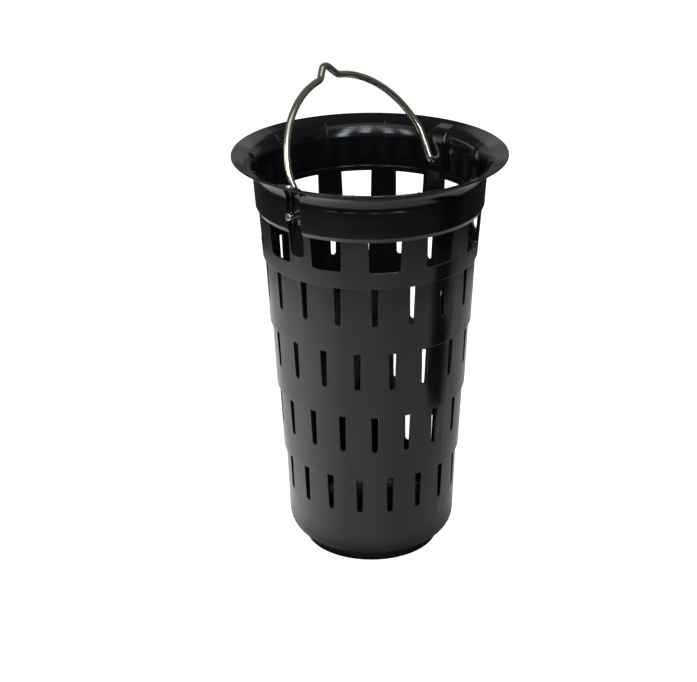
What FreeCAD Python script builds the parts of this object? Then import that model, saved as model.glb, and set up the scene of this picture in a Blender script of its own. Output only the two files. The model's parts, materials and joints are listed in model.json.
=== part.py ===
"""Slotted silt bucket for a street gully: one moulded bucket and its bent wire bail.

Millimetres, +Z up. The origin is the centre of the foot ring, on the ground.
The bail's hinge axis runs along Y, and the bail leans towards -X at rest.
"""

import FreeCAD
import Part

import math
import os

from FreeCAD import Vector

# Bucket wall, as radius and height of its outer face
WALL = 3.1
RIM_R = 192.5
FOOT_R = 98.5
FOOT_WALL = 3.2
FLOOR_Z = 12.0
CORNER_R = 30.0
TIERS = [
    (122.0, 42.0, 125.9, 150.0),
    (129.0, 150.0, 133.7, 250.0),
    (136.8, 250.0, 141.4, 350.0),
    (144.5, 350.0, 148.9, 449.0),
    (152.0, 449.0, 157.2, 518.0),
]
LEDGE_ROUND = 1.2
SHELF = 3.0
COLLAR_LOW_R = 160.4
COLLAR_LOW_Z = 524.0
COLLAR_HIGH_R = 162.8
COLLAR_HIGH_Z = 561.0
SEAM_STEP = 0.8

# Trumpet-shaped flange: an arc about one centre, then a straight lip
FLARE_R = 186.0
FLARE_Z = 565.0
FLARE_INNER = 27.0
LIP_SLOPE = 20.0
LIP_ROUND = 1.3

# Openings in the wall. Their pattern is turned a little from the hinge axis.
PATTERN_TURN = 1.6
WINDOWS = 12
WINDOW_LOW_Z = 473.0
WINDOW_TOP_ANGLE = 16.2
WINDOW_LOW_ANGLE = 15.2
WINDOW_CORNER = 5.5
SLOTS = 18
SLOT_LENGTH = 57.0
SLOT_TOP_WIDTH = 10.5
SLOT_LOW_WIDTH = 8.2

# Stiffening ribs on the flange's inner face
RIBS = 12
RIB_THICK = 2.4
RIB_HIGH = 2.4
RIB_LOW_ANGLE = -8.0
RIB_TOP_ANGLE = 66.0
RIB_RUN_OUT = 14.0

# Hinge recess pressed into the collar, and the hinge axis
PIVOT_Z = 547.0
RECESS_WIDTH = 24.0
RECESS_BLOCK_ROUND = 5.0
RECESS_HOLLOW_ROUND = 2.5
RECESS_FACE = [
    (151.6, 486.0),
    (146.9, 529.0),
    (148.3, 537.0),
    (150.5, 566.3),
]
RECESS_ROOF_R = 24.1
RECESS_ROOF_END = 84.0
RECESS_REACH = 30.0
RECESS_OVERRUN = 10.0
RECESS_TIP = (180.5, 592.0)
HOLLOW_TIP = (179.2, 588.0)
HOLE_CLEARANCE = 0.1

# Bail, drawn in its own plane: x across the bucket, z up from the hinge axis
WIRE_D = 10.0
LEAN = 27.0
STUB_END = 173.0
STUB_ROUND = 0.8
LEG_X = 141.0
BEND_R = 7.5
LEG_SPLAY = 3.0
SHOULDER_R = 60.0
ARCH_R = 147.2
ARCH_Z = 13.0
KINK_TOP = 175.5
KINK_R = 9.0
KINK_SLOPE = 48.0
KINK_FILLET = 12.0

# Reach of the tools that cut the wall, inside and outside its outer face
CUT_IN = 12.0
CUT_OUT = 6.0
FOOT_OVERLAP = 1.5
FAR = 300.0
TINY = 0.01
AXIS_Z = Vector(0, 0, 1)


def section(r, z):
    """A point of the bucket's section, in the XZ plane."""
    return Vector(r, 0, z)


def polygon(points):
    return [Part.LineSegment(a, b).toShape() for a, b in zip(points, points[1:])]


def arc(start, middle, end):
    return Part.Arc(start, middle, end).toShape()


def on_flare(radius, degrees):
    """A point of the flange's arc: 0 degrees is level with the centre, 90 is over it."""
    turn = math.radians(degrees)
    return section(FLARE_R - radius * math.cos(turn), FLARE_Z + radius * math.sin(turn))


def lip_end(radius):
    """Where the straight lip that leaves the arc reaches the rim."""
    start = on_flare(radius, 90 - LIP_SLOPE)
    rise = (RIM_R - start.x) * math.tan(math.radians(LIP_SLOPE))
    return section(RIM_R, start.z + rise)


def flare_edges(radius, low):
    """The flange's arc from a low point out to the rim."""
    top = on_flare(radius, 90 - LIP_SLOPE)
    middle = on_flare(radius, (90 - LIP_SLOPE) / 2)
    return [arc(low, middle, top), Part.LineSegment(top, lip_end(radius)).toShape()]


def ledge_corner(radius, z):
    """The lower outer corner of a tier, with its sharp edge taken off in three flats."""
    points = []
    for degrees in (0, 30, 60, 90):
        turn = math.radians(degrees)
        inset = 1 - math.sin(turn)
        rise = 1 - math.cos(turn)
        points.append(section(radius - LEDGE_ROUND * inset, z + LEDGE_ROUND * rise))
    return points


def outer_edges():
    """The outer face from the floor's centre to the rim."""
    corner = section(TIERS[0][0] - CORNER_R, FLOOR_Z)
    side = CORNER_R * math.sqrt(0.5)
    middle = section(corner.x + side, FLOOR_Z + CORNER_R - side)
    start = section(TIERS[0][0], TIERS[0][1])
    edges = polygon([section(0, FLOOR_Z), corner])
    edges.append(arc(corner, middle, start))
    wall = [start]
    for index, (low_r, low_z, high_r, high_z) in enumerate(TIERS):
        if index:
            wall += ledge_corner(low_r, low_z)
        wall.append(section(high_r, high_z))
    wall.append(section(COLLAR_LOW_R, COLLAR_LOW_Z))
    wall.append(section(COLLAR_HIGH_R, COLLAR_HIGH_Z))
    seam = section(COLLAR_HIGH_R - SEAM_STEP, COLLAR_HIGH_Z + SEAM_STEP)
    wall.append(seam)
    return edges + polygon(wall) + flare_edges(FLARE_INNER - WALL, seam)


def inner_edges():
    """The inner face from the floor's centre to the rim."""
    radius = CORNER_R - WALL
    corner = section(TIERS[0][0] - CORNER_R, FLOOR_Z + WALL)
    side = radius * math.sqrt(0.5)
    middle = section(corner.x + side, FLOOR_Z + CORNER_R - side)
    start = section(TIERS[0][0] - WALL, TIERS[0][1])
    edges = polygon([section(0, FLOOR_Z + WALL), corner])
    edges.append(arc(corner, middle, start))
    wall = [start]
    for low_r, low_z, high_r, high_z in TIERS:
        if low_z > TIERS[0][1]:
            wall.append(section(low_r - WALL, low_z + SHELF))
        wall.append(section(high_r - WALL, high_z + SHELF))
    shelf_z = COLLAR_LOW_Z + 1.0
    wall[-1] = section(TIERS[-1][2] - WALL, shelf_z)
    wall.append(section(COLLAR_LOW_R - WALL, shelf_z))
    low = on_flare(FLARE_INNER, 0)
    wall.append(low)
    return edges + polygon(wall) + flare_edges(FLARE_INNER, low)


def revolved(edges):
    face = Part.Face(Part.Wire(Part.__sortEdges__(edges)))
    return face.revolve(Vector(0, 0, 0), AXIS_Z, 360)


def shell():
    """The bucket's wall and flange, turned about the axis."""
    low = section(0, FLOOR_Z)
    high = section(0, FLOOR_Z + WALL)
    rim = polygon([lip_end(FLARE_INNER - WALL), lip_end(FLARE_INNER)])
    solid = revolved(outer_edges() + rim + inner_edges() + polygon([low, high]))
    rim_circles = [
        edge
        for edge in solid.Edges
        if edge.BoundBox.ZLength < TINY and abs(edge.BoundBox.XMax - RIM_R) < TINY
    ]
    return solid.makeFillet(LIP_ROUND, rim_circles)


def envelope():
    """The outer face filled in solid, to trim what is added to the wall."""
    end = lip_end(FLARE_INNER - WALL)
    closing = polygon([end, section(0, end.z), section(0, FLOOR_Z)])
    return revolved(outer_edges() + closing)


def foot_ring():
    height = FLOOR_Z + FOOT_OVERLAP
    outside = Part.makeCylinder(FOOT_R, height)
    inside = Part.makeCylinder(FOOT_R - FOOT_WALL, height)
    return outside.cut(inside)


def turned(shape, degrees):
    copy = shape.copy()
    copy.rotate(Vector(0, 0, 0), AXIS_Z, degrees)
    return copy


def outward(edges, near, far):
    """A flat outline in the XZ plane, made a prism from radius near to far along -Y."""
    face = Part.Face(Part.Wire(edges))
    face.translate(Vector(0, -near, 0))
    return face.extrude(Vector(0, near - far, 0))


def slot_cutter(top_z, radius):
    """A narrow slot that hangs from a ledge and ends in a half round."""
    half_top = SLOT_TOP_WIDTH / 2
    half_low = SLOT_LOW_WIDTH / 2
    low_z = top_z - SLOT_LENGTH + half_low
    sides = polygon(
        [
            section(-half_low, low_z),
            section(-half_top, top_z),
            section(half_top, top_z),
            section(half_low, low_z),
        ]
    )
    end = arc(section(half_low, low_z), section(0, low_z - half_low), section(-half_low, low_z))
    return outward(sides + [end], radius - CUT_IN, radius + CUT_OUT)


def window_cutter():
    """A wide window under the collar, with rounded lower corners."""
    radius = TIERS[-1][2]
    top_z = TIERS[-1][3]
    half_top = radius * math.tan(math.radians(WINDOW_TOP_ANGLE / 2))
    half_low = radius * math.tan(math.radians(WINDOW_LOW_ANGLE / 2))
    prism = outward(
        polygon(
            [
                section(-half_low, WINDOW_LOW_Z),
                section(-half_top, top_z),
                section(half_top, top_z),
                section(half_low, WINDOW_LOW_Z),
                section(-half_low, WINDOW_LOW_Z),
            ]
        ),
        radius - CUT_IN,
        radius + CUT_OUT,
    )
    corners = [
        edge
        for edge in prism.Edges
        if edge.BoundBox.ZMax < WINDOW_LOW_Z + 1 and edge.BoundBox.YLength > CUT_IN
    ]
    return prism.makeFillet(WINDOW_CORNER, corners)


def wall_cutters():
    cutters = []
    window = window_cutter()
    step = 360 / WINDOWS
    for index in range(WINDOWS):
        cutters.append(turned(window, PATTERN_TURN + step * (index + 0.5)))
    step = 360 / SLOTS
    for row, (_, _, high_r, high_z) in enumerate(TIERS[:4]):
        slot = slot_cutter(high_z, high_r)
        shift = 0.5 if row % 2 == 0 else 0.0
        for index in range(SLOTS):
            cutters.append(turned(slot, PATTERN_TURN + step * (index + shift)))
    return cutters


def rib():
    """A thin web that follows the flange's inner face and runs out into it under the lip."""
    outside = FLARE_INNER + RIB_HIGH
    inside = FLARE_INNER - WALL / 2
    first = RIB_LOW_ANGLE
    last = RIB_TOP_ANGLE
    full = last - RIB_RUN_OUT
    low = on_flare(outside, first)
    high = on_flare(outside, full)
    low_root = on_flare(inside, first)
    high_root = on_flare(inside, last)
    edges = [
        arc(low, on_flare(outside, (first + full) / 2), high),
        arc(low_root, on_flare(inside, (first + last) / 2), high_root),
    ]
    edges += polygon([low, low_root]) + polygon([high, high_root])
    face = Part.Face(Part.Wire(Part.__sortEdges__(edges)))
    face.translate(Vector(0, -RIB_THICK / 2, 0))
    web = face.extrude(Vector(0, RIB_THICK, 0))
    return turned(web, -90)


def recess_prism(shift, width, tip, far):
    """A prism outside the recess's inner face, when that face is moved outward by shift."""
    face = [section(r + shift, z) for r, z in RECESS_FACE]
    low = face[-1]
    radius = RECESS_ROOF_R - shift
    centre = low + Vector(radius, 0, 0)
    roof = []
    for degrees in (RECESS_ROOF_END / 2, RECESS_ROOF_END):
        turn = math.radians(degrees)
        roof.append(centre + Vector(-math.cos(turn), 0, math.sin(turn)) * radius)
    edges = polygon(face) + [arc(low, roof[0], roof[1])]
    edges += polygon([roof[1], section(*tip), section(far, tip[1]), section(far, face[0].z), face[0]])
    outline = Part.Face(Part.Wire(edges))
    outline.translate(Vector(0, -width / 2, 0))
    return turned(outline.extrude(Vector(0, width, 0)), -90)


def rounded(prism, half_width, round_r):
    """The recess's prism with both long edges of its inner face rounded."""
    long_edges = []
    for edge in prism.Edges:
        box = edge.BoundBox
        at_side = box.XLength < TINY and abs(abs(box.XMin) - half_width) < TINY
        on_face = box.YMin > -RECESS_TIP[0] - 1 and box.YLength < RECESS_REACH
        if at_side and on_face and box.ZLength > 1:
            long_edges.append(edge)
    return prism.makeFillet(round_r, long_edges)


def recess_block():
    """The solid around the recess, with the edges of its inner face rounded."""
    width = RECESS_WIDTH + 2 * WALL
    prism = recess_prism(0, width, RECESS_TIP, FAR)
    return rounded(prism, width / 2, RECESS_BLOCK_ROUND)


def recess_hollow():
    """The space that the recess leaves outside, under the flange."""
    prism = recess_prism(WALL, RECESS_WIDTH, HOLLOW_TIP, RIM_R + RECESS_OVERRUN)
    return rounded(prism, RECESS_WIDTH / 2, RECESS_HOLLOW_ROUND)


def bucket():
    step = 360 / RIBS
    web = rib()
    ribs = [turned(web, PATTERN_TURN + step * index) for index in range(RIBS) if index % (RIBS // 2)]
    block = recess_block().common(envelope())
    body = shell().fuse([foot_ring(), block, turned(block, 180)] + ribs)
    hollow = recess_hollow()
    hole = Part.makeCylinder(
        WIRE_D / 2 + HOLE_CLEARANCE, 2 * RIM_R, Vector(0, -RIM_R, PIVOT_Z), Vector(0, 1, 0)
    )
    cutters = wall_cutters() + [hollow, turned(hollow, 180)]
    return body.cut(Part.makeCompound(cutters)).cut(hole).removeSplitter()


def bail_half():
    """Edges of the bail's centreline from one stub's end up to the kink's top.

    Points are (x, 0, z), with z measured from the hinge axis.
    """
    splay = math.radians(LEG_SPLAY)
    slope = math.radians(KINK_SLOPE)
    arch_centre = section(0, ARCH_Z)

    bend_end = section(LEG_X + BEND_R, 0)
    bend_centre = section(LEG_X + BEND_R, BEND_R)
    leg_out = Vector(-math.cos(splay), 0, math.sin(splay))
    leg_up = Vector(math.sin(splay), 0, math.cos(splay))
    leg_low = bend_centre + leg_out * BEND_R
    bisector = (leg_out + Vector(0, 0, -1)).normalize()
    bend_middle = bend_centre + bisector * BEND_R

    # The shoulder touches the leg and lies inside the arch's circle.
    from_arch = leg_low + leg_out * SHOULDER_R - arch_centre
    along = from_arch.dot(leg_up)
    reach = (ARCH_R - SHOULDER_R) ** 2 - from_arch.Length**2 + along**2
    leg_length = math.sqrt(reach) - along
    leg_high = leg_low + leg_up * leg_length
    shoulder_centre = leg_high + leg_out * SHOULDER_R
    shoulder_way = (shoulder_centre - arch_centre).normalize()
    shoulder_end = arch_centre + shoulder_way * ARCH_R
    bisector = (shoulder_way - leg_out).normalize()
    shoulder_middle = shoulder_centre + bisector * SHOULDER_R

    # The fillet lies outside the arch's circle and touches the kink's straight side.
    peak_centre = section(0, KINK_TOP - KINK_R)
    side_out = Vector(math.sin(slope), 0, math.cos(slope))
    side_down = Vector(math.cos(slope), 0, -math.sin(slope))
    side_high = peak_centre + side_out * KINK_R
    from_arch = side_high + side_out * KINK_FILLET - arch_centre
    along = from_arch.dot(side_down)
    reach = (ARCH_R + KINK_FILLET) ** 2 - from_arch.Length**2 + along**2
    side_length = -along - math.sqrt(reach)
    side_low = side_high + side_down * side_length
    fillet_centre = side_low + side_out * KINK_FILLET
    fillet_way = (arch_centre - fillet_centre).normalize()
    fillet_end = fillet_centre + fillet_way * KINK_FILLET
    bisector = (fillet_way - side_out).normalize()
    fillet_middle = fillet_centre + bisector * KINK_FILLET

    arch_way = (shoulder_way - fillet_way).normalize()
    arch_middle = arch_centre + arch_way * ARCH_R
    peak_way = (side_out + AXIS_Z).normalize()
    peak_middle = peak_centre + peak_way * KINK_R
    return [
        Part.LineSegment(section(STUB_END, 0), bend_end).toShape(),
        arc(bend_end, bend_middle, leg_low),
        Part.LineSegment(leg_low, leg_high).toShape(),
        arc(leg_high, shoulder_middle, shoulder_end),
        arc(shoulder_end, arch_middle, fillet_end),
        arc(fillet_end, fillet_middle, side_low),
        Part.LineSegment(side_low, side_high).toShape(),
        arc(side_high, peak_middle, section(0, KINK_TOP)),
    ]


def bail():
    half = bail_half()
    other = [edge.mirror(Vector(0, 0, 0), Vector(1, 0, 0)) for edge in half]
    path = Part.Wire(Part.__sortEdges__(half + other))
    start = section(STUB_END, 0)
    profile = Part.Wire(Part.makeCircle(WIRE_D / 2, start, Vector(1, 0, 0)))
    wire = path.makePipeShell([profile], True, False)
    ends = [
        edge
        for edge in wire.Edges
        if edge.BoundBox.XLength < TINY and abs(edge.BoundBox.Center.x) > STUB_END - TINY
    ]
    wire = wire.makeFillet(STUB_ROUND, ends)
    wire.rotate(Vector(0, 0, 0), AXIS_Z, 90)
    wire.rotate(Vector(0, 0, 0), Vector(0, 1, 0), -LEAN)
    wire.translate(Vector(0, 0, PIVOT_Z))
    return wire


def main():
    os.makedirs("parts", exist_ok=True)
    for name, shape in (("bucket", bucket()), ("bail", bail())):
        solids = shape.Solids
        print(name, len(solids), shape.isValid(), round(shape.Volume), shape.BoundBox)
        solids[0].exportStep(f"parts/{name}.step")


if __name__ == "__main__":
    main()
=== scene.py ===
"""Street gully silt bucket: the finish of the moulded bucket and its wire bail, and a plain studio.

Metres, +Z up. The origin is the foot ring's centre on the ground, and the bail's hinge axis runs along Y.
"""

import json
import math

import bmesh
import bpy
from bpy.props import FloatProperty, FloatVectorProperty, PointerProperty
from mathutils import Matrix, Vector


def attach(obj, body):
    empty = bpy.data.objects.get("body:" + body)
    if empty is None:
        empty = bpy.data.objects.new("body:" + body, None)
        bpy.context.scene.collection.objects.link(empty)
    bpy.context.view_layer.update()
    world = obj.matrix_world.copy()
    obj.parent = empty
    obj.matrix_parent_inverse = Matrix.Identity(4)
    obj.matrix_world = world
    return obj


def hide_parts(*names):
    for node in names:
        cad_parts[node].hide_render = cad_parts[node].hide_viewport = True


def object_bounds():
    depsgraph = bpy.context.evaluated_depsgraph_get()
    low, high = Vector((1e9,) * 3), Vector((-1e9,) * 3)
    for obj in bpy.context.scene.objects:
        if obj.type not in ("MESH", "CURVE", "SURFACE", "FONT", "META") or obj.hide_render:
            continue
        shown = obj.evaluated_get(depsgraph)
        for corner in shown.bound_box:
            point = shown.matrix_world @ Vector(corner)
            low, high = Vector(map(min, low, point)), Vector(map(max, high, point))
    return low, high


bl_info = {
    "name": "Gully silt bucket",
    "version": (1, 0, 0),
    "blender": (4, 5, 0),
    "location": "View3D > Sidebar > Silt bucket",
    "description": "Finishes a moulded silt bucket and its bail, and sets up a plain studio",
    "category": "Object",
}

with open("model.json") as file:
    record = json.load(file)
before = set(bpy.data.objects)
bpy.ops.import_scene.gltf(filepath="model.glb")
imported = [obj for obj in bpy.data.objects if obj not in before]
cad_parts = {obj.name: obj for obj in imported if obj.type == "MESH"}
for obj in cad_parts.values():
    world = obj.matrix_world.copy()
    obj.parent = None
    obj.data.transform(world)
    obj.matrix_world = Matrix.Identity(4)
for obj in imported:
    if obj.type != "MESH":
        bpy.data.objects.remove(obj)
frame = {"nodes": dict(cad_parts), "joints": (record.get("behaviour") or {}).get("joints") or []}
CAD_LOW, CAD_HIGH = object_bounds()
LEDGE_Z = 0.5195  # the collar stands on this ledge, and everything above it is polished
PANEL_TAB = "Silt bucket"

# The bail's centreline, as it is bent: across the bucket and up from the hinge axis
STUB_END = 0.173
LEG_ACROSS = 0.141
LEG_SPLAY = 3.0
BEND_RADIUS = 0.0075
SHOULDER_RADIUS = 0.060
ARCH_RADIUS = 0.1472
ARCH_UP = 0.013
KINK_TOP = 0.1755
KINK_RADIUS = 0.009
KINK_SLOPE = 48.0
KINK_FILLET = 0.012
WIRE_SIDES = 32
WIDEST_STEP = math.radians(8)
CURVE_ERROR = 0.00004
MERGE = 0.000001
SORT_DIGITS = 7
STRAIGHTENED = "straightened"

# The plastic's finish
PLASTIC_IOR = 1.49
EDGE_AGREES = (0.97, 0.70)  # the rounded and the flat normal's agreement, off an edge and on it
EDGE_WEAR_AND_HIGHLIGHT = (0.35, 1.0)  # share of the edge wear and painted edge highlight between the patches and in them
SCUFF_COLOUR = 0.35
SCUFF_GLOSS = 0.12
SCUFF_DEPTH = 0.6
PATCH_COLOUR = 1.5
PATCH_GLOSS = (-0.02, 0.04)
LEDGE_BLEND = 0.001
SKIN_DEPTH = 0.00002

# The wire's finish
TINT_SHARE = 0.8
WIRE_SCUFF_COLOUR = 0.5
WIRE_SCUFF_GLOSS = 0.15
WIRE_SCUFF_DEPTH = 0.8
WIRE_PATCH_GLOSS = 0.08
DRAWN_RANGE = (0.3, 0.7)
DRAWN_GLOSS = (-0.03, 0.05)
DRAWN_DEPTH = 1.5
WIRE_SKIN_DEPTH = 0.00003

# Rub marks: how each direction is stretched and turned, and the noise that cuts them out
RUB_DIRECTIONS = (
    ((1.0, 1.0, 0.06), (0.35, 0.2, 0.0)),
    ((0.07, 0.07, 1.0), (0.15, -0.3, 0.5)),
)
RUB_CUT = (0.66, 0.72)
RUB_FADE = 0.15

# Brightness of the painted glow that the floor shows to the gloss, by the direction from the bucket: 0
# degrees is towards the camera, negative to its left and positive to its right.
PAINTED_FLOOR_GLOW = [
    (-178, 0.8),
    (-120, 1.05),
    (-82, 1.62),
    (-54, 1.4),
    (-27, 0.95),
    (0, 0.87),
    (27, 0.64),
    (68, 0.57),
    (178, 0.5),
]
GLOW_SCALE = 2.0  # a colour ramp stops at 1, so the glow is stored divided by this
FLOOR_PALE = ((0.86, 0.86, 0.86, 1.0), (0.90, 0.90, 0.90, 1.0))
FLOOR_LIFT = 0.92
HORIZON = (-0.02, 0.05)
BELOW_HORIZON = 0.2  # share of the room's light
PAINTED_FOOT_SHADOW = (0.10, 0.20, 0.05, 1.0)  # painted shadow round the foot: from and to this far out, the glow rises between these shares
PAINTED_FAR_FADE = (0.95, 1.20, 1.0, 0.06)  # and out there the painted glow falls again

# Lamps: name, place from the rim's middle (away from the camera, right, up), width, height,
# brightness. All face the rim.
RIM_LEVEL = 0.8
DAYLIGHT = (0.86, 0.93, 1.0)
WINDOWS = [
    ("window_left", (-1.9, -1.7, 1.9), 0.42, 2.1, 1.0),
    ("window_middle", (-1.9, -0.75, 1.9), 0.42, 2.1, 1.0),
    ("window_right", (-1.9, 0.15, 1.9), 0.42, 2.1, 1.0),
    ("window_far_right", (-1.9, 0.9, 1.9), 0.42, 2.1, 1.0),
    ("window_low", (-2.3, 1.2, 0.7), 0.4, 0.95, 1.3),
]
SOFTBOXES = [
    ("left", (-0.3, -2.2, 0.9), 0.9, 1.2, 1.2),
    ("behind", (2.6, 0.0, 0.9), 4.5, 0.9, 0.28),
    ("rim_light", (2.1, 0.0, 1.3), 1.6, 0.6, 0.5),
    ("overhead", (-0.7, 0.0, 2.3), 2.6, 1.3, 0.7),
]
FLAG_SIZE = (0.21, 0.9)
FLAG_PLACE = (-0.145, 0.5, 0.46)  # away, right, up


class BucketFinish(bpy.types.PropertyGroup):
    """Colours and gloss of the moulded bucket."""

    body_colour: FloatVectorProperty(
        name="Body colour",
        description="Colour of the plastic itself",
        default=(0.0032, 0.0033, 0.0040),
        min=0.0,
        max=1.0,
        subtype="COLOR",
    )
    # Grey of scuffs and edge wear, and also the painted highlight along every edge.
    rubbed_and_highlight_colour: FloatVectorProperty(
        name="Rubbed colour",
        description="Greyer colour on edges and scuffs",
        default=(0.060, 0.060, 0.062),
        min=0.0,
        max=1.0,
        subtype="COLOR",
    )
    wall_roughness: FloatProperty(
        name="Wall roughness",
        description="Roughness of the slotted wall under the collar",
        default=0.16,
        min=0.0,
        max=1.0,
        subtype="FACTOR",
    )
    collar_roughness: FloatProperty(
        name="Collar roughness",
        description="Roughness of the polished collar and flange",
        default=0.12,
        min=0.0,
        max=1.0,
        subtype="FACTOR",
    )
    edge_radius: FloatProperty(
        name="Edge radius",
        description="Radius that the mould leaves on every sharp edge",
        default=0.0007,
        min=0.0,
        max=0.003,
        precision=4,
        subtype="DISTANCE",
        unit="LENGTH",
    )
    ripple_depth: FloatProperty(
        name="Ripple depth",
        description="Height of the slow waves that cooling leaves in the wall",
        default=0.0005,
        min=0.0,
        max=0.003,
        precision=4,
        subtype="DISTANCE",
        unit="LENGTH",
    )


class BailFinish(bpy.types.PropertyGroup):
    """Colours and gloss of the plated wire."""

    zinc_colour: FloatVectorProperty(
        name="Zinc colour",
        description="Colour of the bright plating",
        default=(0.92, 0.91, 0.82),
        min=0.0,
        max=1.0,
        subtype="COLOR",
    )
    tint_colour: FloatVectorProperty(
        name="Tint colour",
        description="Yellowish colour of the passivated patches",
        default=(0.66, 0.62, 0.36),
        min=0.0,
        max=1.0,
        subtype="COLOR",
    )
    bare_colour: FloatVectorProperty(
        name="Bare colour",
        description="Colour where the plating is rubbed",
        default=(0.42, 0.41, 0.38),
        min=0.0,
        max=1.0,
        subtype="COLOR",
    )
    wire: FloatProperty(
        name="Wire",
        description="Diameter of the wire",
        default=0.010,
        min=0.002,
        precision=4,
        subtype="DISTANCE",
        unit="LENGTH",
    )
    lean: FloatProperty(
        name="Lean",
        description="How far the bail leans over from upright",
        default=math.radians(27),
        subtype="ANGLE",
        unit="ROTATION",
    )
    cut_edge: FloatProperty(
        name="Cut edge",
        description="Width of the round that tumbling leaves on the wire's cut ends",
        default=0.0008,
        min=0.0001,
        precision=4,
        subtype="DISTANCE",
        unit="LENGTH",
    )
    roughness: FloatProperty(
        name="Roughness",
        description="Roughness of the plating where it is brightest",
        default=0.11,
        min=0.0,
        max=1.0,
        subtype="FACTOR",
    )


class StudioSettings(bpy.types.PropertyGroup):
    """Camera, lights and floor."""

    camera_place: FloatVectorProperty(
        name="Camera place",
        description="Where the camera stands",
        default=(1.4406, -1.7664, 1.3075),
        subtype="TRANSLATION",
        unit="LENGTH",
    )
    camera_heading: FloatProperty(
        name="Camera heading",
        description="Direction the camera looks in, from +Y towards +X",
        default=math.radians(-40.0056),
        subtype="ANGLE",
        unit="ROTATION",
    )
    camera_pitch: FloatProperty(
        name="Camera pitch",
        description="How far the camera looks down",
        default=math.radians(23.6626),
        subtype="ANGLE",
        unit="ROTATION",
    )
    camera_roll: FloatProperty(
        name="Camera roll",
        description="Turn of the camera about its line of sight",
        default=math.radians(-0.5922),
        subtype="ANGLE",
        unit="ROTATION",
    )
    camera_lens: FloatProperty(
        name="Camera lens",
        description="Focal length in millimetres for a sensor 36 mm wide",
        default=88.51,
        min=10.0,
    )
    floor_far: FloatProperty(
        name="Floor far",
        description="How far the floor reaches to each side",
        default=5.0,
        subtype="DISTANCE",
        unit="LENGTH",
    )
    room_light: FloatProperty(
        name="Room light",
        description="Brightness of the dim room that the gloss reflects above the floor",
        default=0.09,
        min=0.0,
    )
    window_light: FloatProperty(
        name="Window light",
        description="Brightness of the row of windows behind the camera",
        default=6.5,
        min=0.0,
    )


def node(tree, kind, inputs=None, **settings):
    """A new shader node with its settings, and each input linked or given its value."""
    made = tree.nodes.new("ShaderNode" + kind)
    for name, value in settings.items():
        setattr(made, name, value)
    for name, value in (inputs or {}).items():
        socket = made.inputs[name]
        if isinstance(value, bpy.types.NodeSocket):
            tree.links.new(value, socket)
        else:
            socket.default_value = value
    return made


def maths(tree, operation, first, second=0.0, clamp=False):
    """The result of a Math node on two sockets or values."""
    made = node(tree, "Math", {0: first, 1: second}, operation=operation, use_clamp=clamp)
    return made.outputs[0]


def remap(tree, value, low, high, to_low=0.0, to_high=1.0):
    """value stretched from low..high to to_low..to_high, and held there outside."""
    inputs = {"Value": value, "From Min": low, "From Max": high, "To Min": to_low, "To Max": to_high}
    return node(tree, "MapRange", inputs).outputs["Result"]


def mixed_value(tree, factor, first, second):
    """A number between first and second."""
    made = node(tree, "Mix", {0: factor, 2: first, 3: second}, data_type="FLOAT")
    return made.outputs[0]


def mixed_colour(tree, factor, first, second):
    """A colour between first and second."""
    made = node(tree, "Mix", {0: factor, 6: first, 7: second}, data_type="RGBA")
    return made.outputs[2]


def opaque(colour):
    """A colour with full alpha, as colour sockets want it."""
    return (*colour, 1.0)


def new_group(name, inputs, outputs):
    """An empty node group with float or vector sockets, and its input and output nodes."""
    group = bpy.data.node_groups.new(name, "ShaderNodeTree")
    for label, kind, value in inputs:
        socket = group.interface.new_socket(label, in_out="INPUT", socket_type=kind)
        if value is not None:
            socket.default_value = value
    for label, kind in outputs:
        group.interface.new_socket(label, in_out="OUTPUT", socket_type=kind)
    return group, group.nodes.new("NodeGroupInput"), group.nodes.new("NodeGroupOutput")


def surface_grain_group():
    """Two scales of unevenness: a fine grain to bump, and slow patches to vary colour and gloss."""
    name = "Surface grain"
    if name in bpy.data.node_groups:
        return bpy.data.node_groups[name]
    group, given, result = new_group(
        name,
        [
            ("Vector", "NodeSocketVector", None),
            ("Grain scale", "NodeSocketFloat", 900.0),
            ("Patch scale", "NodeSocketFloat", 12.0),
        ],
        [("Grain", "NodeSocketFloat"), ("Patches", "NodeSocketFloat")],
    )
    place = given.outputs["Vector"]
    fine = {"Vector": place, "Scale": given.outputs["Grain scale"], "Detail": 3.0, "Roughness": 0.6}
    slow = {"Vector": place, "Scale": given.outputs["Patch scale"], "Detail": 4.0, "Roughness": 0.55}
    group.links.new(node(group, "TexNoise", fine).outputs["Fac"], result.inputs["Grain"])
    patches = remap(group, node(group, "TexNoise", slow).outputs["Fac"], 0.3, 0.7)
    group.links.new(patches, result.inputs["Patches"])
    return group


def scuffs_group():
    """Short thin rub marks in two directions, gathered in patches."""
    name = "Rub marks"
    if name in bpy.data.node_groups:
        return bpy.data.node_groups[name]
    group, given, result = new_group(
        name,
        [
            ("Vector", "NodeSocketVector", None),
            ("Scale", "NodeSocketFloat", 60.0),
            ("Cover", "NodeSocketFloat", 0.5),
        ],
        [("Mask", "NodeSocketFloat")],
    )
    marks = None
    for stretch, turn in RUB_DIRECTIONS:
        laid = {"Vector": given.outputs["Vector"], "Rotation": turn, "Scale": stretch}
        streak = {
            "Vector": node(group, "Mapping", laid).outputs["Vector"],
            "Scale": given.outputs["Scale"],
            "Detail": 5.0,
            "Roughness": 0.7,
        }
        thin = remap(group, node(group, "TexNoise", streak).outputs["Fac"], *RUB_CUT)
        marks = thin if marks is None else maths(group, "MAXIMUM", marks, thin)
    spread = {"Vector": given.outputs["Vector"], "Scale": 9.0, "Detail": 2.0}
    gathered = node(group, "TexNoise", spread).outputs["Fac"]
    edge = maths(group, "SUBTRACT", 1.0, given.outputs["Cover"])
    where = remap(group, gathered, edge, maths(group, "ADD", edge, RUB_FADE))
    group.links.new(maths(group, "MULTIPLY", marks, where), result.inputs["Mask"])
    return group


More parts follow.
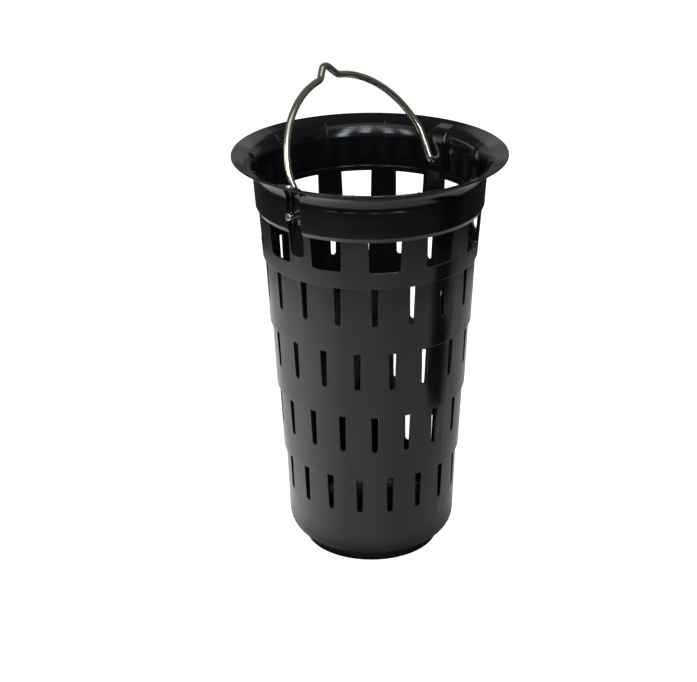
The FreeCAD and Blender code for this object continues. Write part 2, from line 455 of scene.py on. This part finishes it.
def new_material(name):
    """A material with only its output and a Principled BSDF."""
    material = bpy.data.materials.new(name)
    material.use_nodes = True
    tree = material.node_tree
    return material, tree, tree.nodes["Principled BSDF"]


def group_node(tree, group, inputs):
    """One use of a node group with its own values."""
    made = node(tree, "Group", node_tree=group)
    for name, value in inputs.items():
        if isinstance(value, bpy.types.NodeSocket):
            tree.links.new(value, made.inputs[name])
        else:
            made.inputs[name].default_value = value
    return made


def black_plastic(finish):
    """Moulded polypropylene: a satin wall, a polished collar and flange, and edges painted grey, as wear
    and as a painted highlight.
    """
    material, tree, shader = new_material("bucket_plastic")
    place = node(tree, "TexCoord").outputs["Object"]
    grain = group_node(
        tree, surface_grain_group(), {"Vector": place, "Grain scale": 1400.0, "Patch scale": 14.0}
    )
    marks = group_node(tree, scuffs_group(), {"Vector": place, "Scale": 70.0, "Cover": 0.42})
    patches = grain.outputs["Patches"]
    scuffs = marks.outputs["Mask"]

    # The rounded normal differs from the flat one only along an edge, and that edge is painted lighter,
    # partly as wear and partly as a painted highlight.
    round_normal = node(tree, "Bevel", {"Radius": finish.edge_radius}, samples=6).outputs["Normal"]
    flat_normal = node(tree, "NewGeometry").outputs["Normal"]
    agree = node(tree, "VectorMath", {0: round_normal, 1: flat_normal}, operation="DOT_PRODUCT")
    edge = remap(tree, agree.outputs["Value"], *EDGE_AGREES)
    worn_and_highlit_edge = maths(tree, "MULTIPLY", edge, remap(tree, patches, 0.0, 1.0, *EDGE_WEAR_AND_HIGHLIGHT))

    # Painted edge highlight with edge wear, and wear in the scuffs, all lighten towards this grey.
    rubbed = maths(tree, "MAXIMUM", worn_and_highlit_edge, maths(tree, "MULTIPLY", scuffs, SCUFF_COLOUR))
    body = mixed_colour(
        tree,
        patches,
        opaque(finish.body_colour),
        opaque([part * PATCH_COLOUR for part in finish.body_colour]),
    )
    colour = mixed_colour(tree, rubbed, body, opaque(finish.rubbed_and_highlight_colour))
    tree.links.new(colour, shader.inputs["Base Color"])

    height = node(tree, "SeparateXYZ", {"Vector": place}).outputs["Z"]
    polished = remap(tree, height, LEDGE_Z, LEDGE_Z + LEDGE_BLEND)
    gloss = mixed_value(tree, polished, finish.wall_roughness, finish.collar_roughness)
    uneven = maths(tree, "ADD", gloss, remap(tree, patches, 0.0, 1.0, *PATCH_GLOSS))
    roughness = maths(tree, "ADD", uneven, maths(tree, "MULTIPLY", scuffs, SCUFF_GLOSS), clamp=True)
    tree.links.new(roughness, shader.inputs["Roughness"])

    slow = {"Vector": place, "Scale": 16.0, "Detail": 1.5, "Roughness": 0.4}
    ripple = node(tree, "TexNoise", slow).outputs["Fac"]
    waved = {
        "Height": ripple,
        "Normal": round_normal,
        "Distance": finish.ripple_depth,
        "Strength": 1.0,
    }
    wavy_normal = node(tree, "Bump", waved).outputs["Normal"]
    skin = maths(tree, "SUBTRACT", grain.outputs["Grain"], maths(tree, "MULTIPLY", scuffs, SCUFF_DEPTH))
    fine = {"Height": skin, "Normal": wavy_normal, "Distance": SKIN_DEPTH, "Strength": 1.0}
    tree.links.new(node(tree, "Bump", fine).outputs["Normal"], shader.inputs["Normal"])
    shader.inputs["IOR"].default_value = PLASTIC_IOR
    return material


def zinc_wire(finish):
    """Drawn steel wire with bright zinc plating: lines along the wire and yellowish patches."""
    material, tree, shader = new_material("bail_zinc")
    place = node(tree, "Attribute", attribute_name=STRAIGHTENED).outputs["Vector"]
    grain = group_node(
        tree, surface_grain_group(), {"Vector": place, "Grain scale": 1800.0, "Patch scale": 38.0}
    )
    marks = group_node(tree, scuffs_group(), {"Vector": place, "Scale": 130.0, "Cover": 0.5})
    patches = grain.outputs["Patches"]
    scuffs = marks.outputs["Mask"]

    stretched = node(tree, "Mapping", {"Vector": place, "Scale": (1.0, 1.0, 0.02)})
    lines = {"Vector": stretched.outputs["Vector"], "Scale": 900.0, "Detail": 3.0}
    drawn = node(tree, "TexNoise", lines).outputs["Fac"]

    tint = maths(tree, "MULTIPLY", patches, TINT_SHARE)
    plated = mixed_colour(tree, tint, opaque(finish.zinc_colour), opaque(finish.tint_colour))
    dulled = maths(tree, "MULTIPLY", scuffs, WIRE_SCUFF_COLOUR)
    colour = mixed_colour(tree, dulled, plated, opaque(finish.bare_colour))
    tree.links.new(colour, shader.inputs["Base Color"])
    shader.inputs["Metallic"].default_value = 1.0

    cloudy = maths(tree, "ADD", finish.roughness, maths(tree, "MULTIPLY", patches, WIRE_PATCH_GLOSS))
    lined = maths(tree, "ADD", cloudy, remap(tree, drawn, *DRAWN_RANGE, *DRAWN_GLOSS))
    rubbed = maths(tree, "MULTIPLY", scuffs, WIRE_SCUFF_GLOSS)
    roughness = maths(tree, "ADD", lined, rubbed, clamp=True)
    tree.links.new(roughness, shader.inputs["Roughness"])

    rub_depth = maths(tree, "MULTIPLY", scuffs, WIRE_SCUFF_DEPTH)
    pitted = maths(tree, "SUBTRACT", grain.outputs["Grain"], rub_depth)
    skin = maths(tree, "ADD", pitted, maths(tree, "MULTIPLY", drawn, DRAWN_DEPTH))
    fine = {"Height": skin, "Distance": WIRE_SKIN_DEPTH, "Strength": 1.0}
    tree.links.new(node(tree, "Bump", fine).outputs["Normal"], shader.inputs["Normal"])
    return material


def finish_node(name, material):
    """The CAD node of that name gets the material in each of its slots."""
    part = frame["nodes"][name]
    if not part.material_slots:
        part.data.materials.append(material)
    for slot in part.material_slots:
        slot.material = material


class SILT_OT_bucket(bpy.types.Operator):
    """Give the moulded bucket its plastic"""

    bl_idname = "silt.bucket"
    bl_label = "Bucket"

    def execute(self, context):
        finish_node("bucket", black_plastic(context.scene.silt_bucket))
        return {"FINISHED"}


def plane_point(across, up):
    """A point of the bail's own plane, where the hinge axis is at the origin and runs along Y."""
    return Vector((0.0, across, up))


def plane_way(degrees):
    """A unit vector in the bail's plane: 0 degrees is outward along +Y, 90 is up."""
    turn = math.radians(degrees)
    return plane_point(math.cos(turn), math.sin(turn))


def turn_between(start, end):
    """The angle from start to end about the X axis, in the bail's plane."""
    return math.atan2(end.z, end.y) - math.atan2(start.z, start.y)


def bail_runs():
    """The runs of half the bail, from its stub's end up to its peak.

    A straight run is its way and its length, and a bend is its centre and its angle about +X.
    Each bend touches the runs before and after it.
    """
    leg_up = plane_way(90 - LEG_SPLAY)
    leg_in = plane_way(180 - LEG_SPLAY)
    bend_centre = plane_point(LEG_ACROSS + BEND_RADIUS, BEND_RADIUS)
    leg_low = bend_centre + leg_in * BEND_RADIUS
    arch_centre = plane_point(0.0, ARCH_UP)

    # The shoulder touches the leg and lies inside the arch's circle.
    from_arch = leg_low + leg_in * SHOULDER_RADIUS - arch_centre
    along = from_arch.dot(leg_up)
    reach = (ARCH_RADIUS - SHOULDER_RADIUS) ** 2 - from_arch.length_squared + along**2
    leg_length = math.sqrt(reach) - along
    shoulder_centre = leg_low + leg_up * leg_length + leg_in * SHOULDER_RADIUS
    shoulder_way = (shoulder_centre - arch_centre).normalized()

    # The fillet lies outside the arch's circle and touches the kink's straight side.
    peak_centre = plane_point(0.0, KINK_TOP - KINK_RADIUS)
    side_out = plane_way(90 - KINK_SLOPE)
    side_down = plane_way(-KINK_SLOPE)
    side_high = peak_centre + side_out * KINK_RADIUS
    from_arch = side_high + side_out * KINK_FILLET - arch_centre
    along = from_arch.dot(side_down)
    reach = (ARCH_RADIUS + KINK_FILLET) ** 2 - from_arch.length_squared + along**2
    side_length = -along - math.sqrt(reach)
    fillet_centre = side_high + side_down * side_length + side_out * KINK_FILLET
    arch_end = (fillet_centre - arch_centre).normalized()

    return [
        ("straight", plane_way(180), STUB_END - LEG_ACROSS - BEND_RADIUS),
        ("bend", bend_centre, math.radians(-90 - LEG_SPLAY)),
        ("straight", leg_up, leg_length),
        ("bend", shoulder_centre, turn_between(-leg_in, shoulder_way)),
        ("bend", arch_centre, turn_between(shoulder_way, arch_end)),
        ("bend", fillet_centre, turn_between(-arch_end, -side_out)),
        ("straight", -side_down, side_length),
        ("bend", peak_centre, turn_between(side_out, plane_way(90))),
    ]


def ring_part(geometry):
    """The vertices and edges of a bmesh operator's result."""
    verts = [item for item in geometry if isinstance(item, bmesh.types.BMVert)]
    kept = set(verts)
    edges = [item for item in geometry if isinstance(item, bmesh.types.BMEdge)]
    return verts, [edge for edge in edges if kept.issuperset(edge.verts)]


def draw_wire(bm, wire):
    """Half the bail's wire, drawn out run by run, with each vertex's place on the straight wire."""
    layer = bm.verts.layers.float_vector.new(STRAIGHTENED)
    end = plane_point(STUB_END, 0.0)
    facing = Matrix.Translation(end) @ Matrix.Rotation(math.radians(90), 4, "X")
    circle = bmesh.ops.create_circle(
        bm, cap_ends=True, segments=WIRE_SIDES, radius=wire / 2, matrix=facing
    )
    for vert in circle["verts"]:
        vert[layer] = (vert.co.x, vert.co.z, 0.0)
    # Each edge once, in an order that is the same in every run
    edges = list(dict.fromkeys(edge for vert in circle["verts"] for edge in vert.link_edges))
    middle = end
    for kind, guide, amount in bail_runs():
        if kind == "straight":
            drawn = bmesh.ops.extrude_edge_only(bm, edges=edges)["geom"]
            verts, edges = ring_part(drawn)
            bmesh.ops.translate(bm, vec=guide * amount, verts=verts)
            middle = middle + guide * amount
            for vert in verts:
                vert[layer] = vert[layer] + Vector((0.0, 0.0, amount))
            continue
        radius = (middle - guide).length
        widest = min(WIDEST_STEP, math.sqrt(8 * CURVE_ERROR / radius))
        steps = math.ceil(abs(amount) / widest)
        for _ in range(steps):
            drawn = bmesh.ops.spin(
                bm, geom=edges, cent=guide, axis=(1.0, 0.0, 0.0), angle=amount / steps, steps=1
            )
            verts, edges = ring_part(drawn["geom_last"])
            for vert in verts:
                vert[layer] = vert[layer] + Vector((0.0, 0.0, radius * abs(amount) / steps))
        middle = guide + Matrix.Rotation(amount, 3, "X") @ (middle - guide)


def renumber(items, key):
    """Put a bmesh's vertices, edges or faces into the order of their keys."""
    items.index_update()
    rank = {item.index: place for place, item in enumerate(sorted(items, key=key))}
    items.sort(key=lambda item: rank[item.index])
    items.index_update()


def corner_numbers(item):
    """The numbers of an edge's or a face's corners, lowest first."""
    return sorted(vert.index for vert in item.verts)


def fixed_order(bm):
    """Number vertices, edges and faces by their places, since operators list them in any order."""
    renumber(bm.verts, lambda vert: tuple(round(part, SORT_DIGITS) for part in vert.co))
    renumber(bm.edges, corner_numbers)
    renumber(bm.faces, corner_numbers)


def bail_mesh(finish):
    """The whole bail: both halves joined, cut ends rounded, and leaned over at its hinge."""
    bm = bmesh.new()
    draw_wire(bm, finish.wire)
    whole = bm.verts[:] + bm.edges[:] + bm.faces[:]
    bmesh.ops.mirror(bm, geom=whole, matrix=Matrix.Identity(4), merge_dist=MERGE, axis="Y")
    bmesh.ops.remove_doubles(bm, verts=bm.verts, dist=MERGE)
    bmesh.ops.recalc_face_normals(bm, faces=bm.faces)
    caps = [face for face in bm.faces if len(face.verts) == WIRE_SIDES]
    for face in bm.faces:
        face.smooth = True
    rims = list(dict.fromkeys(edge for face in caps for edge in face.edges))
    bmesh.ops.bevel(
        bm,
        geom=rims,
        offset=finish.cut_edge,
        offset_type="OFFSET",
        segments=4,
        profile=0.5,
        affect="EDGES",
        material=-1,
    )
    lean = Matrix.Rotation(-finish.lean, 4, "Y")
    hinge = Matrix.Translation(frame["joints"][0]["pos_m"])
    bmesh.ops.transform(bm, matrix=hinge @ lean, verts=bm.verts)
    fixed_order(bm)
    mesh = bpy.data.meshes.new("bail_wire")
    bm.to_mesh(mesh)
    bm.free()
    return mesh


class SILT_OT_bail(bpy.types.Operator):
    """Draw the bail's wire along its bends and plate it"""

    bl_idname = "silt.bail"
    bl_label = "Bail"

    def execute(self, context):
        finish = context.scene.silt_bail
        mesh = bail_mesh(finish)
        mesh.materials.append(zinc_wire(finish))
        wire = bpy.data.objects.new("bail_wire", mesh)
        context.scene.collection.objects.link(wire)
        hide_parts("bail")
        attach(wire, "bail")
        return {"FINISHED"}


def painted_floor_glow(tree, studio):
    """Painted glow that the gloss sees on the floor: brightest to the left, dimmer to the right, with a
    painted shadow at the foot.
    """
    place = node(tree, "TexCoord").outputs["Object"]
    turned = {"Vector": place, "Rotation": (0.0, 0.0, studio.camera_heading + math.pi / 2)}
    around = node(tree, "Mapping", turned)
    angle = node(tree, "TexGradient", {"Vector": around.outputs["Vector"]}, gradient_type="RADIAL")
    ramp = node(tree, "ValToRGB", {"Fac": angle.outputs["Fac"]})
    stops = ramp.color_ramp.elements
    for at, value in PAINTED_FLOOR_GLOW:
        stop = stops.new(0.5 + at / 360)
        stop.color = opaque([value / GLOW_SCALE] * 3)
    stops.remove(stops[-1])
    stops.remove(stops[0])
    reach = node(tree, "VectorMath", {0: place}, operation="LENGTH").outputs["Value"]
    near = remap(tree, reach, *PAINTED_FOOT_SHADOW)
    far = remap(tree, reach, *PAINTED_FAR_FADE)
    painted_shade = maths(tree, "MULTIPLY", near, far)
    painted_glow = maths(tree, "MULTIPLY", ramp.outputs["Color"], GLOW_SCALE)
    return maths(tree, "MULTIPLY", painted_glow, painted_shade)


def studio_floor_material(studio):
    """Pale matt floor: evenly lit to the camera, and to the gloss a painted glow with a painted shadow at
    the foot.
    """
    material, tree, shader = new_material("studio_floor")
    place = node(tree, "TexCoord").outputs["Object"]
    cloud = node(tree, "TexNoise", {"Vector": place, "Scale": 3.0, "Detail": 3.0}).outputs["Fac"]
    pale = mixed_colour(tree, cloud, *FLOOR_PALE)
    tree.links.new(pale, shader.inputs["Base Color"])
    shader.inputs["Roughness"].default_value = 0.9
    shader.inputs["Specular IOR Level"].default_value = 0.0
    shader.inputs["Emission Color"].default_value = (1.0, 1.0, 1.0, 1.0)
    shader.inputs["Emission Strength"].default_value = FLOOR_LIFT
    # To all but camera rays the floor is a painted glow, not a lit surface.
    painted_glow = node(tree, "Emission", {"Strength": painted_floor_glow(tree, studio)})
    seen = node(tree, "LightPath").outputs["Is Camera Ray"]
    chosen = node(tree, "MixShader", {0: seen, 1: painted_glow.outputs[0], 2: shader.outputs[0]})
    tree.links.new(chosen.outputs[0], tree.nodes["Material Output"].inputs["Surface"])
    return material


def heading_axes(heading):
    """Unit vectors on the floor: away from the camera, and to its right."""
    away = Vector((math.sin(heading), math.cos(heading), 0.0))
    right = Vector((math.cos(heading), -math.sin(heading), 0.0))
    return away, right


def from_camera(studio, place):
    """A place given as away from the camera, right and up, in the scene's own axes."""
    away, right = heading_axes(studio.camera_heading)
    return away * place[0] + right * place[1] + Vector((0.0, 0.0, place[2]))


def build_floor(studio):
    """One flat square sheet about the origin."""
    mesh = bpy.data.meshes.new("floor")
    bm = bmesh.new()
    bmesh.ops.create_grid(bm, x_segments=1, y_segments=1, size=studio.floor_far)
    bm.to_mesh(mesh)
    bm.free()
    mesh.materials.append(studio_floor_material(studio))
    floor = bpy.data.objects.new("floor", mesh)
    bpy.context.scene.collection.objects.link(floor)


def softbox(name, place, target, width, height, brightness, colour=(1.0, 1.0, 1.0)):
    """A rectangular lamp that faces target. Its brightness is the one its reflection shows."""
    lamp = bpy.data.lights.new(name, "AREA")
    lamp.shape = "RECTANGLE"
    lamp.size = width
    lamp.size_y = height
    lamp.color = colour
    lamp.energy = brightness * math.pi * width * height
    made = bpy.data.objects.new(name, lamp)
    made.visible_camera = False
    made.location = place
    made.rotation_euler = (target - place).to_track_quat("-Z", "Y").to_euler()
    bpy.context.scene.collection.objects.link(made)


def build_lights(studio):
    """Windows behind the camera, and softboxes to the left, behind and overhead."""
    rim = Vector((0.0, 0.0, CAD_HIGH.z * RIM_LEVEL))
    for name, place, width, height, share in WINDOWS:
        brightness = studio.window_light * share
        softbox(name, rim + from_camera(studio, place), rim, width, height, brightness, DAYLIGHT)
    for name, place, width, height, brightness in SOFTBOXES:
        softbox(name, rim + from_camera(studio, place), rim, width, height, brightness)


def build_flag(studio):
    """A black card that stands to the right, which puts a dark band into the wall's gloss."""
    away, right = heading_axes(studio.camera_heading)
    mesh = bpy.data.meshes.new("flag")
    bm = bmesh.new()
    bmesh.ops.create_grid(bm, x_segments=1, y_segments=1, size=0.5)
    bmesh.ops.scale(bm, vec=(*FLAG_SIZE, 1.0), verts=bm.verts)
    upright = Matrix((away, Vector((0.0, 0.0, 1.0)), right)).transposed().to_4x4()
    moved = Matrix.Translation(from_camera(studio, FLAG_PLACE))
    bmesh.ops.transform(bm, matrix=moved @ upright, verts=bm.verts)
    bm.to_mesh(mesh)
    bm.free()
    material, tree, shader = new_material("flag_cloth")
    shader.inputs["Base Color"].default_value = (0.01, 0.01, 0.01, 1.0)
    shader.inputs["Roughness"].default_value = 1.0
    shader.inputs["Specular IOR Level"].default_value = 0.0
    mesh.materials.append(material)
    flag = bpy.data.objects.new("flag", mesh)
    flag.visible_camera = False
    flag.visible_shadow = False
    bpy.context.scene.collection.objects.link(flag)


def build_world(studio):
    """White to the camera. To the gloss, a dim room above the horizon and darkness under it."""
    world = bpy.data.worlds.new("studio")
    world.use_nodes = True
    tree = world.node_tree
    tree.nodes.clear()
    level = node(tree, "SeparateXYZ", {"Vector": node(tree, "TexCoord").outputs["Generated"]})
    low_light = studio.room_light * BELOW_HORIZON
    strength = remap(tree, level.outputs["Z"], *HORIZON, low_light, studio.room_light)
    room = node(tree, "Background", {"Strength": strength})
    room.inputs["Color"].default_value = (1.0, 1.0, 1.0, 1.0)
    paper = node(tree, "Background", {"Color": (1.0, 1.0, 1.0, 1.0), "Strength": 1.0})
    seen = node(tree, "LightPath").outputs["Is Camera Ray"]
    chosen = node(tree, "MixShader", {0: seen, 1: room.outputs[0], 2: paper.outputs[0]})
    output = node(tree, "OutputWorld")
    tree.links.new(chosen.outputs[0], output.inputs["Surface"])
    bpy.context.scene.world = world


def build_camera(studio):
    """The camera, turned by heading, pitch and roll."""
    away, right = heading_axes(studio.camera_heading)
    pitch = studio.camera_pitch
    forward = away * math.cos(pitch) + Vector((0.0, 0.0, -math.sin(pitch)))
    up = right.cross(forward)
    rolled_right = right * math.cos(studio.camera_roll) + up * math.sin(studio.camera_roll)
    rolled_up = up * math.cos(studio.camera_roll) - right * math.sin(studio.camera_roll)
    data = bpy.data.cameras.new("camera")
    data.sensor_width = 36.0
    data.lens = studio.camera_lens
    camera = bpy.data.objects.new("camera", data)
    turned = Matrix((rolled_right, rolled_up, -forward)).transposed().to_4x4()
    camera.matrix_world = Matrix.Translation(studio.camera_place) @ turned
    bpy.context.scene.collection.objects.link(camera)
    bpy.context.scene.camera = camera


class SILT_OT_studio(bpy.types.Operator):
    """Make the floor, the lights, the world and the camera"""

    bl_idname = "silt.studio"
    bl_label = "Studio"

    def execute(self, context):
        studio = context.scene.silt_studio
        build_floor(studio)
        build_flag(studio)
        build_lights(studio)
        build_world(studio)
        build_camera(studio)
        context.scene.view_settings.view_transform = "Standard"
        return {"FINISHED"}


class SILT_PT_panel(bpy.types.Panel):
    """The steps that finish the bucket, and their settings"""

    bl_idname = "SILT_PT_panel"
    bl_label = "Gully silt bucket"
    bl_space_type = "VIEW_3D"
    bl_region_type = "UI"
    bl_category = PANEL_TAB

    def draw(self, context):
        scene = context.scene
        for operator, settings in STEPS:
            box = self.layout.box()
            box.operator(operator.bl_idname)
            group = getattr(scene, settings)
            for name in group.__annotations__:
                box.prop(group, name)


STEPS = [
    (SILT_OT_bucket, "silt_bucket"),
    (SILT_OT_bail, "silt_bail"),
    (SILT_OT_studio, "silt_studio"),
]
SETTINGS = {"silt_bucket": BucketFinish, "silt_bail": BailFinish, "silt_studio": StudioSettings}


def register():
    for name, kind in SETTINGS.items():
        bpy.utils.register_class(kind)
        setattr(bpy.types.Scene, name, PointerProperty(type=kind))
    for operator, _ in STEPS:
        bpy.utils.register_class(operator)
    bpy.utils.register_class(SILT_PT_panel)


def unregister():
    bpy.utils.unregister_class(SILT_PT_panel)
    for operator, _ in reversed(STEPS):
        bpy.utils.unregister_class(operator)
    for name, kind in reversed(SETTINGS.items()):
        delattr(bpy.types.Scene, name)
        bpy.utils.unregister_class(kind)


def main():
    register()
    bpy.ops.silt.bucket()
    bpy.ops.silt.bail()
    bpy.ops.silt.studio()


if __name__ == "__main__":
    main()
